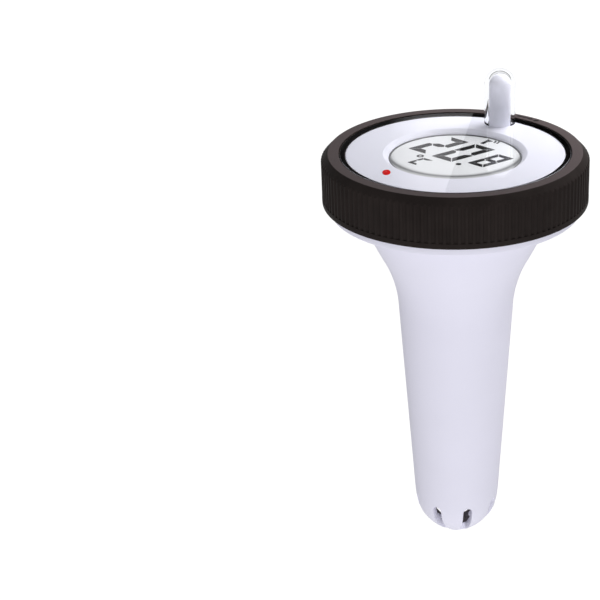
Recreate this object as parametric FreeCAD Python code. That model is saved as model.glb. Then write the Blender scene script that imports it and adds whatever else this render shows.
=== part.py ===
import FreeCAD, Part
import math
import os
from FreeCAD import Vector

# Floating pool thermometer, millimetres, +Z up.
# Origin: centre of the flat underside of the float's flange, about where the water line lies.

# Float body: flange, threaded collar, funnel, tapered tube and slotted dome in one moulding
FLANGE_R = 47.3
FLANGE_T = 4.0
COLLAR_R = 44.9
COLLAR_BORE_R = 42.4
COLLAR_TOP = 16.2
FUNNEL_R = 37.9
WALL = 2.0
TUBE_TOP = (22.0, -42.0)
TUBE_END = (16.75, -122.0)
DOME_POINTS = [(14.88, -130.92), (10.37, -136.72)]
DOME_TIP = -142.0
BULKHEAD_SEAT_Z = -118.0
BULKHEAD_BORE_R = 14.8

# Slots of the dome
SLOT_COUNT = 8
SLOT_W = 3.7
SLOT_TOP = -123.9
SLOT_FIRST_DEG = -74.4
SLOT_INNER_R = 5.0

# Locking ring and its quick thread
RING_R = 50.0
RING_LIP_R = 43.26
RING_BORE_R = 47.1
RING_Z0 = 4.3
RING_Z1 = 22.4
RING_LIP_Z = 19.4
RING_CHAMFER = 2.6
RING_BAND = 1.5
FLUTES = 120
FLUTE_R = 0.95
FLUTE_CENTRE_R = 50.38
LUGS = 4
LUG_SPAN = 38.0
LUG_H = 1.8
THREAD_LEAD = 23.876
COLLAR_LUG_Z = 9.6
LUG_GAP = 0.3

# Clear cover with the antenna finger
COVER_TOP = 22.2
COVER_T = 1.6
COVER_R = 42.9
COVER_WALL_R = 41.3
RIM_R = 44.9
RIM_Z0 = 17.2
RIM_Z1 = 19.1
FINGER_X = 17.3
FINGER_Y = 31.4
FINGER_R = 6.0
FINGER_BORE_R = 4.5
FINGER_END_Z = 37.9
GASKET_T = 0.8

# Electronics module
BEZEL_R = 41.0
BEZEL_TOP = 20.35
BEZEL_T = 1.5
RECESS_R = 26.0
WINDOW_R = 24.8
RECESS_DEPTH = 1.8
LCD_R = 26.4
LCD_TOP = 18.35
LCD_T = 1.85
SEGMENT_T = 0.06
DISPLAY_DEG = -40.4
DIGIT_SLANT = 0.22
BOARD_R = 37.6
BOARD_Z0 = 11.0
BOARD_T = 1.6
CUP_R = 39.6
CUP_WALL = 1.6
CUP_TOP = 16.0
FLOOR_Z0 = 4.0
FLOOR_Z1 = 5.6
POST_R = 34.0
POST_DEGS = (15, 105, 195, 285)
ROD_R = 4.15
ROD_BORE_R = 3.0
ROD_END_Z = 37.6
LED_X = -24.9
LED_Y = -20.3
LED_HALF_W = 1.55
LED_LENGTH = 5.6

# Battery bay for two AA cells standing in the tube
BAY_X = 15.1
BAY_Y = 7.6
BAY_WALL = 1.3
BAY_BOTTOM = -54.5
CELL_X = 7.6
CELL_R = 7.2
CELL_L = 49.2
NUB_R = 2.7
NUB_H = 1.3
DOOR_X = 13.7
DOOR_Y = -9.2
DOOR_T = 1.0

# Controls on the underside of the module
BUTTON_SPOTS = {"unit_button": (-24.0, 10.0), "sync_button": (-24.0, -10.0)}
BUTTON_R = 3.0
SWITCH_X = 26.0
SWITCH_Y = -14.0

# Ballast, probe and bulkhead
BALLAST_R = 14.6
BALLAST_BORE_R = 5.0
BALLAST_Z0 = -112.0
BALLAST_H = 8.0
PROBE_R = 3.0
PROBE_TIP = -134.5


def polygon(points):
    vectors = [Vector(*p) for p in points]
    return Part.Face(Part.makePolygon(vectors + vectors[:1]))


def turned(points):
    """Solid of revolution about Z from (radius, height) corners."""
    return polygon([(r, 0, z) for r, z in points]).revolve(Vector(), Vector(0, 0, 1), 360)


def tube(r_in, r_out, z0, z1, x=0.0, y=0.0):
    outer = Part.makeCylinder(r_out, z1 - z0, Vector(x, y, z0))
    if r_in <= 0:
        return outer
    return outer.cut(Part.makeCylinder(r_in, z1 - z0 + 2, Vector(x, y, z0 - 1)))


def rod(r, z0, z1, x=0.0, y=0.0):
    return Part.makeCylinder(r, z1 - z0, Vector(x, y, z0))


def block(x0, x1, y0, y1, z0, z1):
    return Part.makeBox(x1 - x0, y1 - y0, z1 - z0, Vector(x0, y0, z0))


def slot_bar(length, width, z0, z1, x, y):
    """Upright bar with round ends, its long side along Y."""
    half = (length - width) / 2
    bar = block(x - width / 2, x + width / 2, y - half, y + half, z0, z1)
    return bar.fuse([rod(width / 2, z0, z1, x, y - half), rod(width / 2, z0, z1, x, y + half)])


def oval_bar(length, width, z0, z1, x, y):
    """Upright bar of elliptical section, its long side along Y."""
    outline = Part.Ellipse(Vector(x, y, z0), length / 2, width / 2).toShape()
    outline.rotate(Vector(x, y, z0), Vector(0, 0, 1), 90)
    return Part.Face(Part.Wire(outline)).extrude(Vector(0, 0, z1 - z0))


def spin(shape, degrees):
    turned_shape = shape.copy()
    turned_shape.rotate(Vector(), Vector(0, 0, 1), degrees)
    return turned_shape


def polar(radius, degrees):
    a = math.radians(degrees)
    return radius * math.cos(a), radius * math.sin(a)


def helix_sweep(profile_points, lead, height, radius):
    path = Part.Wire(Part.makeHelix(lead, height, radius).Edges)
    vectors = [Vector(*p) for p in profile_points]
    profile = Part.makePolygon(vectors + vectors[:1])
    return path.makePipeShell([profile], True, True)


def coil(wire_r, radius, turns, z0, z1):
    """Wire of twelve-sided section wound on a helix about Z."""
    path = Part.Wire(Part.makeHelix((z1 - z0) / turns, z1 - z0, radius).Edges)
    corners = [polar(wire_r, 30 * i + 15) for i in range(12)]
    section = Part.makePolygon([Vector(radius + u, 0, v) for u, v in corners + corners[:1]])
    shape = path.makePipeShell([section], True, True)
    shape.translate(Vector(0, 0, z0))
    return shape


def thread_lugs(r_in, r_out, z0):
    """Ring of short helical ridges with the thread's lead."""
    rise = THREAD_LEAD * LUG_SPAN / 360
    corners = [(r_in, 0, z0), (r_out, 0, z0), (r_out, 0, z0 + LUG_H), (r_in, 0, z0 + LUG_H)]
    lug = helix_sweep(corners, THREAD_LEAD, rise, (r_in + r_out) / 2)
    return [spin(lug, i * 360 / LUGS) for i in range(LUGS)]


def funnel_edges(offset):
    """Flare and upper taper of the body, moved inwards by offset, from the flange to the tube's end."""
    nx = 0.893 * offset
    nz = 0.451 * offset
    flare_top = Vector(FUNNEL_R - nx, 0, nz)
    flare_end = Vector(28.6 - nx, 0, -18.4 + nz)
    middle = Vector(23.35 - 0.96 * offset, 0, -31.6 + 0.28 * offset)
    tube_top = Vector(TUBE_TOP[0] - offset, 0, TUBE_TOP[1])
    tube_end = Vector(TUBE_END[0] - offset, 0, TUBE_END[1])
    return [
        Part.makeLine(flare_top, flare_end),
        Part.Arc(flare_end, middle, tube_top).toShape(),
        Part.makeLine(tube_top, tube_end),
    ]


def lathe(edges):
    """Revolve a run of edges in the XZ plane, closed through corner points on the axis side."""
    face = Part.Face(Part.Wire(Part.__sortEdges__(edges)))
    return face.revolve(Vector(), Vector(0, 0, 1), 360)


def joined(points):
    return [Part.makeLine(Vector(a[0], 0, a[1]), Vector(b[0], 0, b[1])) for a, b in zip(points, points[1:])]


def dome_edge():
    curve = Part.BSplineCurve()
    points = [TUBE_END] + DOME_POINTS + [(0.0, DOME_TIP)]
    curve.interpolate(
        Points=[Vector(r, 0, z) for r, z in points],
        InitialTangent=Vector(-0.07, 0, -1),
        FinalTangent=Vector(-1, 0, 0),
    )
    return curve.toShape()


def float_body():
    profile = funnel_edges(0.0)
    rim = [
        (0.0, DOME_TIP), (0.0, COLLAR_TOP), (COLLAR_R, COLLAR_TOP), (COLLAR_R, FLANGE_T),
        (FLANGE_R - 0.5, FLANGE_T), (FLANGE_R, FLANGE_T - 0.5), (FLANGE_R, 0.5),
        (FLANGE_R - 0.5, 0.0), (FUNNEL_R, 0.0),
    ]
    body = lathe(profile + [dome_edge()] + joined(rim))
    inner = funnel_edges(WALL)
    top = inner[0].Vertexes[0].Point
    end_r = TUBE_END[0] - WALL
    upper = lathe(
        inner + joined([
            (end_r, TUBE_END[1]), (0.0, TUBE_END[1]), (0.0, COLLAR_TOP + 1),
            (COLLAR_BORE_R, COLLAR_TOP + 1), (COLLAR_BORE_R, FLANGE_T), (top.x, FLANGE_T), (top.x, top.z),
        ])
    )
    shelf_r = 13.2
    shelf = tube(shelf_r, 16.4, BULKHEAD_SEAT_Z - 2, BULKHEAD_SEAT_Z)
    sleeve = tube(BULKHEAD_BORE_R, 16.4, BULKHEAD_SEAT_Z, BULKHEAD_SEAT_Z + 6)
    chamber = turned([
        (0, -119.9), (shelf_r, -119.9), (14.2, -121.0), (14.2, -124.0),
        (12.6, -129.9), (8.7, -134.6), (4.0, -138.2), (0, -139.3),
    ])
    body = body.cut(upper).fuse([shelf, sleeve]).cut(chamber)
    cutter = block(SLOT_INNER_R, 20, -SLOT_W / 2, SLOT_W / 2, -150, SLOT_TOP - SLOT_W / 2)
    crown = Part.makeCylinder(SLOT_W / 2, 12, Vector(8, 0, SLOT_TOP - SLOT_W / 2), Vector(1, 0, 0))
    cutter = cutter.fuse(crown)
    slots = [spin(cutter, SLOT_FIRST_DEG + i * 360 / SLOT_COUNT) for i in range(SLOT_COUNT)]
    body = body.cut(slots)
    lugs = thread_lugs(COLLAR_R - 0.5, 46.6, COLLAR_LUG_Z)
    return body.fuse(lugs)


def locking_ring():
    profile = turned([
        (RING_BORE_R, RING_Z0), (RING_R, RING_Z0), (RING_R, RING_Z1 - RING_CHAMFER),
        (RING_R - RING_CHAMFER, RING_Z1), (RING_LIP_R, RING_Z1), (RING_LIP_R, RING_LIP_Z),
        (RING_BORE_R, RING_LIP_Z),
    ])
    groove = rod(FLUTE_R, RING_Z0 + RING_BAND, RING_Z1 + 1, FLUTE_CENTRE_R, 0)
    grooves = [spin(groove, i * 360 / FLUTES) for i in range(FLUTES)]
    ring = profile.cut(Part.makeCompound(grooves))
    arrow = tube(45.1, 45.9, RING_Z1 - 0.3, RING_Z1 + 1)
    wedge = polygon([(0, 0, 20), (60, 0, 20), polar(60, 7.5) + (20,)]).extrude(Vector(0, 0, 5))
    arrow = spin(arrow.common(wedge), 50.0)
    head = polygon([(44.3, 0, 0), (46.7, 0, 0), polar(45.5, -2.2) + (0,)]).extrude(Vector(0, 0, 2))
    head.translate(Vector(0, 0, RING_Z1 - 0.3))
    oval = slot_bar(2.6, 1.5, RING_Z1 - 0.3, RING_Z1 + 1, 0, 0)
    oval.rotate(Vector(), Vector(0, 0, 1), -45)
    oval.translate(Vector(*polar(45.5, 44.6), 0))
    ring = ring.cut([arrow, spin(head, 50.0), oval])
    lugs = thread_lugs(45.2, RING_BORE_R + 0.5, COLLAR_LUG_Z - LUG_GAP - LUG_H)
    return ring.fuse(lugs)


def clear_cover():
    shell = turned([
        (0, COVER_TOP - COVER_T), (COVER_WALL_R, COVER_TOP - COVER_T), (COVER_WALL_R, RIM_Z0),
        (RIM_R, RIM_Z0), (RIM_R, RIM_Z1), (COVER_R, RIM_Z1), (COVER_R, COVER_TOP - 0.2),
        (COVER_R - 0.2, COVER_TOP), (0, COVER_TOP),
    ])
    centre = Vector(FINGER_X, FINGER_Y, FINGER_END_Z)
    finger = rod(FINGER_R, COVER_TOP - COVER_T, FINGER_END_Z, FINGER_X, FINGER_Y)
    finger = finger.fuse(Part.makeSphere(FINGER_R, centre))
    bore = rod(FINGER_BORE_R, COVER_TOP - COVER_T - 1, ROD_END_Z, FINGER_X, FINGER_Y)
    bore = bore.fuse(Part.makeSphere(FINGER_BORE_R, Vector(FINGER_X, FINGER_Y, ROD_END_Z)))
    return shell.fuse(finger).cut(bore).removeSplitter()


def cover_gasket():
    return tube(COVER_WALL_R, RIM_R - 0.2, RIM_Z0 - GASKET_T, RIM_Z0)


def module_bezel():
    lip = BEZEL_TOP - RECESS_DEPTH
    under = BEZEL_TOP - BEZEL_T
    bezel = turned([
        (BEZEL_R - 0.4, BEZEL_TOP), (RECESS_R + 0.5, BEZEL_TOP), (RECESS_R - 0.2, BEZEL_TOP - 0.35),
        (WINDOW_R, lip), (30.0, lip), (30.0, under), (39.9, under), (39.9, 13.5),
        (BEZEL_R, 13.5), (BEZEL_R, BEZEL_TOP - 0.4),
    ])
    inside = rod(BEZEL_R - 0.2, 13.5, BEZEL_TOP)
    boss = rod(5.6, CUP_TOP + 0.3, under + 0.2, FINGER_X, FINGER_Y).common(inside)
    posts = [rod(2.2, BOARD_Z0 + BOARD_T, under + 0.2, *polar(POST_R, a)) for a in POST_DEGS]
    bezel = bezel.fuse([boss] + posts)
    holes = [rod(1.2, BOARD_Z0, 17.4, *polar(POST_R, a)) for a in POST_DEGS]
    holes.append(rod(ROD_R, 10, 30, FINGER_X, FINGER_Y))
    holes.append(oval_bar(LED_LENGTH + 0.1, 2 * LED_HALF_W + 0.1, 10, 30, LED_X, LED_Y))
    return bezel.cut(holes)


def window_gasket():
    return tube(WINDOW_R - 0.7, LCD_R - 0.2, LCD_TOP, BEZEL_TOP - RECESS_DEPTH)


def lcd_panel():
    return rod(LCD_R, LCD_TOP - LCD_T, LCD_TOP)


def digit(which, x, y, width, height, stroke):
    """Seven-segment figure with mitred corners and a slant; x and y are its lower left corner."""
    gap = 0.09 * stroke
    half = stroke / 2
    middle = height / 2
    near, far = stroke, width - stroke
    high = height - stroke
    upright = [(0, height - gap), (near, high - gap), (near, middle + half + gap),
               (half, middle + gap), (0, middle + gap)]
    level = [(gap, height), (width - gap, height), (far - gap, high), (near + gap, high)]
    shapes = {
        "a": level,
        "b": [(width - u, v) for u, v in upright],
        "c": [(width - u, height - v) for u, v in upright],
        "d": [(u, height - v) for u, v in level],
        "e": [(u, height - v) for u, v in upright],
        "f": upright,
        "g": [(half + gap, middle), (near + gap, middle + half), (far - gap, middle + half),
              (width - half - gap, middle), (far - gap, middle - half), (near + gap, middle - half)],
    }
    lit = {"0": "abcdef", "2": "abged", "8": "abcdefg", "C": "adef"}[which]
    bars = []
    for name in lit:
        corners = [(x + u + DIGIT_SLANT * v, y + v, LCD_TOP) for u, v in shapes[name]]
        bars.append(polygon(corners).extrude(Vector(0, 0, SEGMENT_T)))
    return bars


def ring_mark(r_in, r_out, x, y):
    return tube(r_in, r_out, LCD_TOP, LCD_TOP + SEGMENT_T, x, y)


def lcd_segments():
    marks = digit("2", -20.0, -3.9, 8.9, 19.8, 2.9)
    marks += digit("0", -7.9, -4.4, 9.7, 20.3, 2.9)
    marks += digit("8", 7.05, -1.4, 7.3, 14.4, 2.1)
    marks += digit("C", -10.4, -15.1, 4.5, 7.3, 1.3)
    marks.append(rod(1.05, LCD_TOP, LCD_TOP + SEGMENT_T, 5.4, -4.5))
    marks.append(ring_mark(0.6, 1.4, -11.1, -7.1))
    # radio mark: a mast with a wedge at its head and two waves beside it
    mast = [(-2.8, 17.9), (-1.1, 17.9), (-1.3, 20.9), (-0.1, 22.4), (-3.2, 23.2), (-2.7, 20.9)]
    marks.append(polygon([(u, v, LCD_TOP) for u, v in mast]).extrude(Vector(0, 0, SEGMENT_T)))
    wedge = polygon([(-1.6, 21.6, LCD_TOP), (5, 21.4, LCD_TOP), (3, 27.6, LCD_TOP)])
    wedge = wedge.extrude(Vector(0, 0, SEGMENT_T)).common(rod(WINDOW_R - 0.9, LCD_TOP, COVER_TOP))
    marks.append(ring_mark(2.3, 3.0, -1.6, 21.6).common(wedge))
    marks.append(ring_mark(3.6, 4.3, -1.6, 21.6).common(wedge))
    return spin(Part.makeCompound(marks), DISPLAY_DEG)


def lcd_holder():
    z0 = BOARD_Z0 + BOARD_T
    return turned([
        (24.5, z0), (29.5, z0), (29.5, LCD_TOP), (LCD_R + 0.1, LCD_TOP),
        (LCD_R + 0.1, LCD_TOP - LCD_T), (24.5, LCD_TOP - LCD_T),
    ])


def zebra_strips():
    z0 = BOARD_Z0 + BOARD_T
    strips = [block(-14, 14, y - 1, y + 1, z0, LCD_TOP - LCD_T) for y in (-18.6, 18.6)]
    return spin(Part.makeCompound(strips), DISPLAY_DEG)


def main_board():
    board = rod(BOARD_R, BOARD_Z0, BOARD_Z0 + BOARD_T)
    holes = [rod(1.4, 5, 20, *polar(POST_R, a)) for a in POST_DEGS]
    holes.append(rod(0.5, 5, 20, *antenna_foot()))
    return board.cut(holes)


def antenna_foot():
    reach = math.hypot(FINGER_X, FINGER_Y)
    k = (reach - 2.2) / reach
    return FINGER_X * k, FINGER_Y * k


def antenna_coil():
    """Spring-wound whip on a straight foot that is soldered through the board."""
    winding = coil(0.35, 2.2, 8, 17.0, 37.0)
    winding = spin(winding, 180 + math.degrees(math.atan2(FINGER_Y, FINGER_X)))
    winding.translate(Vector(FINGER_X, FINGER_Y, 0))
    return winding.fuse(rod(0.35, BOARD_Z0 - 0.6, 17.05, *antenna_foot()))


def antenna_sheath():
    z0 = CUP_TOP + 0.3
    outer = rod(ROD_R - 0.02, z0, ROD_END_Z, FINGER_X, FINGER_Y)
    outer = outer.fuse(Part.makeSphere(ROD_R - 0.02, Vector(FINGER_X, FINGER_Y, ROD_END_Z)))
    inner = rod(ROD_BORE_R, z0 - 1, ROD_END_Z, FINGER_X, FINGER_Y)
    inner = inner.fuse(Part.makeSphere(ROD_BORE_R, Vector(FINGER_X, FINGER_Y, ROD_END_Z)))
    return outer.cut(inner)


def status_led():
    return oval_bar(LED_LENGTH, 2 * LED_HALF_W, BOARD_Z0 + BOARD_T, BEZEL_TOP + 0.12, LED_X, LED_Y)


def rf_module():
    carrier = block(10, 21, -9, 7, BOARD_Z0 - 0.8, BOARD_Z0)
    can = block(11, 20, -8, 2, BOARD_Z0 - 2.6, BOARD_Z0 - 0.8)
    return carrier.fuse(can)


def controller_chip():
    chip = rod(4.0, BOARD_Z0 - 1.2, BOARD_Z0, -12.0, 14.0)
    return chip.makeFillet(0.8, [e for e in chip.Edges if e.BoundBox.ZMax < BOARD_Z0 - 1.1])


def tact_switches():
    bodies = []
    for x, y in BUTTON_SPOTS.values():
        body = block(x - 3, x + 3, y - 3, y + 3, 7.5, BOARD_Z0)
        bodies.append(body.cut(rod(1.9, 7, 9.4, x, y)))
    return Part.makeCompound(bodies)


def push_button(x, y):
    cap = rod(BUTTON_R, 3.3, 6.6, x, y)
    cap = cap.makeFillet(0.5, [e for e in cap.Edges if e.BoundBox.ZMax < 3.4])
    return cap.fuse([rod(4.4, 5.7, 6.6, x, y), rod(1.6, 6.6, 8.4, x, y)])


def channel_switch():
    x, y = SWITCH_X, SWITCH_Y
    body = block(x - 6, x + 6, y - 2.5, y + 2.5, 7.5, BOARD_Z0)
    return body.cut(block(x - 4, x + 4, y - 0.9, y + 0.9, 7, 9.6))


def channel_slider():
    x, y = SWITCH_X, SWITCH_Y
    return block(x - 1, x + 1, y - 0.6, y + 0.6, 3.4, 9.2)


def rear_housing():
    """Cup behind the board with the battery bay hanging from it into the tube."""
    cup = turned([
        (0, FLOOR_Z0), (CUP_R, FLOOR_Z0), (CUP_R, CUP_TOP), (CUP_R - CUP_WALL, CUP_TOP),
        (CUP_R - CUP_WALL, FLOOR_Z1), (0, FLOOR_Z1),
    ])
    out_x = BAY_X + BAY_WALL
    out_y = BAY_Y + BAY_WALL
    bay = block(-out_x, out_x, -out_y, out_y, BAY_BOTTOM - 1.5, FLOOR_Z0 + 0.1)
    corners = [e for e in bay.Edges if e.BoundBox.XLength < 0.01 and e.BoundBox.YLength < 0.01]
    bay = bay.makeFillet(3.0, corners)
    posts = [rod(3.2, FLOOR_Z1 - 0.1, BOARD_Z0, *polar(POST_R, a)) for a in POST_DEGS]
    hooks = []
    hook_y = DOOR_Y - DOOR_T - 1.0
    for z in (-8.0, -40.0):
        arm = block(DOOR_X + 0.3, DOOR_X + 1.5, hook_y, -BAY_Y + 0.6, z, z + 6)
        lip = block(DOOR_X - 0.8, DOOR_X + 0.4, hook_y, hook_y + 0.7, z, z + 6)
        hook = arm.fuse(lip)
        hooks += [hook, hook.mirror(Vector(), Vector(1, 0, 0))]
    housing = cup.fuse([bay] + posts + hooks)
    cells = [rod(BAY_Y, BAY_BOTTOM, FLOOR_Z0, x, 0) for x in (-CELL_X + 0.1, CELL_X - 0.1)]
    cells.append(block(-CELL_X, CELL_X, -BAY_Y, 0, BAY_BOTTOM, FLOOR_Z0))
    cells.append(block(1.3 - DOOR_X, DOOR_X - 1.3, -out_y - 1, 0, -51.5, -1.0))
    holes = []
    for a in POST_DEGS:
        x, y = polar(POST_R, a)
        holes += [rod(2.6, FLOOR_Z0 - 1, 7.2, x, y), rod(1.4, 7, 12, x, y)]
    for x, y in BUTTON_SPOTS.values():
        holes.append(rod(BUTTON_R + 0.3, 3, 6, x, y))
    x, y = SWITCH_X, SWITCH_Y
    holes.append(block(x - 3.4, x + 3.4, y - 0.95, y + 0.95, 3, 6))
    holes.append(rod(1.6, 3, 6, 0, 12.0))
    for x in (-CELL_X, CELL_X):
        holes.append(block(x - 1.8, x + 1.8, 4.4, 5.4, 3, 6))
    return housing.cut(cells + holes)


def battery_cell(x, nub_up):
    body = rod(CELL_R, 0, CELL_L, x, 0)
    body = body.makeFillet(0.6, [e for e in body.Edges if isinstance(e.Curve, Part.Circle)])
    nub = rod(NUB_R, CELL_L - 0.1, CELL_L + NUB_H, x, 0)
    cell = body.fuse(nub)
    if nub_up:
        cell.translate(Vector(0, 0, 3.3 - CELL_L - NUB_H))
    else:
        cell = cell.mirror(Vector(), Vector(0, 0, 1))
        cell.translate(Vector(0, 0, BAY_BOTTOM + 0.7 + CELL_L + NUB_H))
    return cell


def contact_springs():
    low = coil(0.4, 3.4, 4, BAY_BOTTOM + 1.2, 3.3 - CELL_L - NUB_H - 0.5)
    low.translate(Vector(-CELL_X, 0, 0))
    high = coil(0.4, 3.4, 4, BAY_BOTTOM + 0.7 + CELL_L + NUB_H + 0.5, 2.9)
    high.translate(Vector(CELL_X, 0, 0))
    return Part.makeCompound([low, high])


def contact_plates():
    plates = []
    for x in (-CELL_X, CELL_X):
        plate = block(x - 4.5, x + 4.5, -4.5, 5.1, 3.4, 3.8)
        tail = block(x - 1.5, x + 1.5, 4.7, 5.1, 3.4, BOARD_Z0)
        plates.append(plate.fuse(tail))
    return Part.makeCompound(plates)


def bridge_plate():
    """Two round contacts on the bay's floor with a strap between them."""
    z0 = BAY_BOTTOM + 0.2
    strap = block(-CELL_X, CELL_X, -4.5, 0.5, z0, z0 + 0.4)
    pads = [rod(4.5, z0, z0 + 0.4, x, 0) for x in (-CELL_X, CELL_X)]
    return strap.fuse(pads).removeSplitter()


def battery_door():
    door = block(-DOOR_X, DOOR_X, DOOR_Y - DOOR_T, DOOR_Y, -52.5, 0.5)
    ribs = [block(-5, 5, DOOR_Y - DOOR_T - 0.8, DOOR_Y - DOOR_T + 0.1, z, z + 1) for z in (-12, -15, -18)]
    return door.fuse(ribs)


def housing_screws():
    screws = []
    for a in POST_DEGS:
        x, y = polar(POST_R, a)
        head = rod(2.3, 5.2, 7.2, x, y)
        cross = block(x - 1.4, x + 1.4, y - 0.3, y + 0.3, 5, 6)
        cross = cross.fuse(block(x - 0.3, x + 0.3, y - 1.4, y + 1.4, 5, 6))
        screws.append(head.cut(cross).fuse(rod(1.15, 7.1, 16.8, x, y)))
    return Part.makeCompound(screws)


def probe_bulkhead():
    z0 = BULKHEAD_SEAT_Z
    plug = turned([
        (0, z0), (14.75, z0), (14.75, z0 + 1.2), (13.2, z0 + 1.2), (13.2, z0 + 3.4),
        (14.75, z0 + 3.4), (14.75, z0 + 5.0), (0, z0 + 5.0),
    ])
    holes = [rod(PROBE_R + 0.02, z0 - 1, z0 + 6)]
    holes += [rod(1.1, z0 + 1.4, z0 + 6, *polar(9.5, a)) for a in (90, 210, 330)]
    return plug.cut(holes)


def bulkhead_seal():
    z0 = BULKHEAD_SEAT_Z
    return turned([
        (13.22, z0 + 1.6), (13.8, z0 + 1.25), (14.78, z0 + 1.8), (14.78, z0 + 2.8),
        (13.8, z0 + 3.35), (13.22, z0 + 3.0),
    ])


def temperature_probe():
    """Closed stainless tube, hex-headed, reaching down into the slotted dome."""
    z0 = BULKHEAD_SEAT_Z + 5.0
    outer = rod(PROBE_R, PROBE_TIP + PROBE_R, z0 + 1)
    outer = outer.fuse(Part.makeSphere(PROBE_R, Vector(0, 0, PROBE_TIP + PROBE_R)))
    hexagon = polygon([polar(4.6, 60 * i) + (z0,) for i in range(6)]).extrude(Vector(0, 0, 1.0))
    inner = rod(PROBE_R - 0.5, PROBE_TIP + PROBE_R, z0 + 3)
    return outer.fuse(hexagon).cut(inner)


def probe_nut():
    z1 = BULKHEAD_SEAT_Z
    nut = polygon([polar(5.4, 60 * i) + (z1 - 2.6,) for i in range(6)]).extrude(Vector(0, 0, 2.6))
    return nut.cut(rod(PROBE_R + 0.02, z1 - 4, z1 + 1))


def ballast_weight():
    z1 = BALLAST_Z0 + BALLAST_H
    weight = turned([
        (BALLAST_BORE_R, BALLAST_Z0), (BALLAST_R - 0.5, BALLAST_Z0), (BALLAST_R, BALLAST_Z0 + 0.5),
        (BALLAST_R, z1 - 0.5), (BALLAST_R - 0.5, z1), (BALLAST_BORE_R, z1),
    ])
    return weight.cut([rod(1.5, BALLAST_Z0 - 1, z1 + 1, *polar(9.5, a)) for a in (90, 210, 330)])


def ballast_screws():
    z1 = BALLAST_Z0 + BALLAST_H
    screws = []
    for a in (90, 210, 330):
        x, y = polar(9.5, a)
        head = rod(2.6, z1, z1 + 1.8, x, y).cut(block(x - 3, x + 3, y - 0.35, y + 0.35, z1 + 1.0, z1 + 3))
        screws.append(head.fuse(rod(1.05, BULKHEAD_SEAT_Z + 1.6, z1 + 0.1, x, y)))
    return Part.makeCompound(screws)


def probe_lead():
    """Sheathed lead from the sensor bead up beside the battery bay to the board, one piece."""
    r = 1.0
    bend = 10.0
    s = math.sin(math.radians(45))
    lean = (12.0 - 2 * bend * (1 - s)) / s
    z_a = -98.0
    z_b = z_a + bend * s
    y_b = bend * (1 - s)
    y_c = y_b + lean * s
    z_c = z_b + lean * s
    z_d = z_c + bend * s
    half = math.radians(22.5)

    def p(y, z):
        return Vector(0, y, z)

    first = Part.Arc(p(0, z_a), p(bend * (1 - math.cos(half)), z_a + bend * math.sin(half)), p(y_b, z_b))
    second = Part.Arc(
        p(y_c, z_c), p(12.0 - bend * (1 - math.cos(half)), z_d - bend * math.sin(half)), p(12.0, z_d)
    )
    path = Part.Wire([
        Part.makeLine(p(0, PROBE_TIP + 6.0), p(0, z_a)), first.toShape(),
        Part.makeLine(p(y_b, z_b), p(y_c, z_c)), second.toShape(),
        Part.makeLine(p(12.0, z_d), p(12.0, 6.6)),
    ])
    section = Part.Wire(Part.makeCircle(r, p(0, PROBE_TIP + 6.0), Vector(0, 0, 1)))
    return path.makePipeShell([section], True, False)


def sensor_bead():
    bead = rod(1.6, PROBE_TIP + 3.3, PROBE_TIP + 6.0)
    return bead.makeFillet(1.0, [e for e in bead.Edges if e.BoundBox.ZMax < PROBE_TIP + 4])


def lead_plug():
    return block(-3.0, 3.0, 10.2, 13.8, 6.6, 10.0)


def plug_socket():
    socket = block(-3.8, 3.8, 9.4, 14.6, 7.6, BOARD_Z0)
    return socket.cut(block(-3.1, 3.1, 10.1, 13.9, 7, 10.1))


PARTS = {
    "float_body": float_body,
    "locking_ring": locking_ring,
    "clear_cover": clear_cover,
    "cover_gasket": cover_gasket,
    "module_bezel": module_bezel,
    "window_gasket": window_gasket,
    "lcd_panel": lcd_panel,
    "lcd_segments": lcd_segments,
    "lcd_holder": lcd_holder,
    "zebra_strips": zebra_strips,
    "main_board": main_board,
    "antenna_coil": antenna_coil,
    "antenna_sheath": antenna_sheath,
    "status_led": status_led,
    "rf_module": rf_module,
    "controller_chip": controller_chip,
    "tact_switches": tact_switches,
    "unit_button": lambda: push_button(*BUTTON_SPOTS["unit_button"]),
    "sync_button": lambda: push_button(*BUTTON_SPOTS["sync_button"]),
    "channel_switch": channel_switch,
    "channel_slider": channel_slider,
    "rear_housing": rear_housing,
    "battery_cell_a": lambda: battery_cell(-CELL_X, True),
    "battery_cell_b": lambda: battery_cell(CELL_X, False),
    "contact_springs": contact_springs,
    "contact_plates": contact_plates,
    "bridge_plate": bridge_plate,
    "battery_door": battery_door,
    "housing_screws": housing_screws,
    "probe_bulkhead": probe_bulkhead,
    "bulkhead_seal": bulkhead_seal,
    "temperature_probe": temperature_probe,
    "probe_nut": probe_nut,
    "sensor_bead": sensor_bead,
    "probe_lead": probe_lead,
    "lead_plug": lead_plug,
    "plug_socket": plug_socket,
    "ballast_weight": ballast_weight,
    "ballast_screws": ballast_screws,
}

os.makedirs("parts", exist_ok=True)
for name, make in PARTS.items():
    make().exportStep("parts/%s.step" % name)
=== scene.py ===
import math

import bmesh
import bpy
from mathutils import Matrix, Vector


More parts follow.
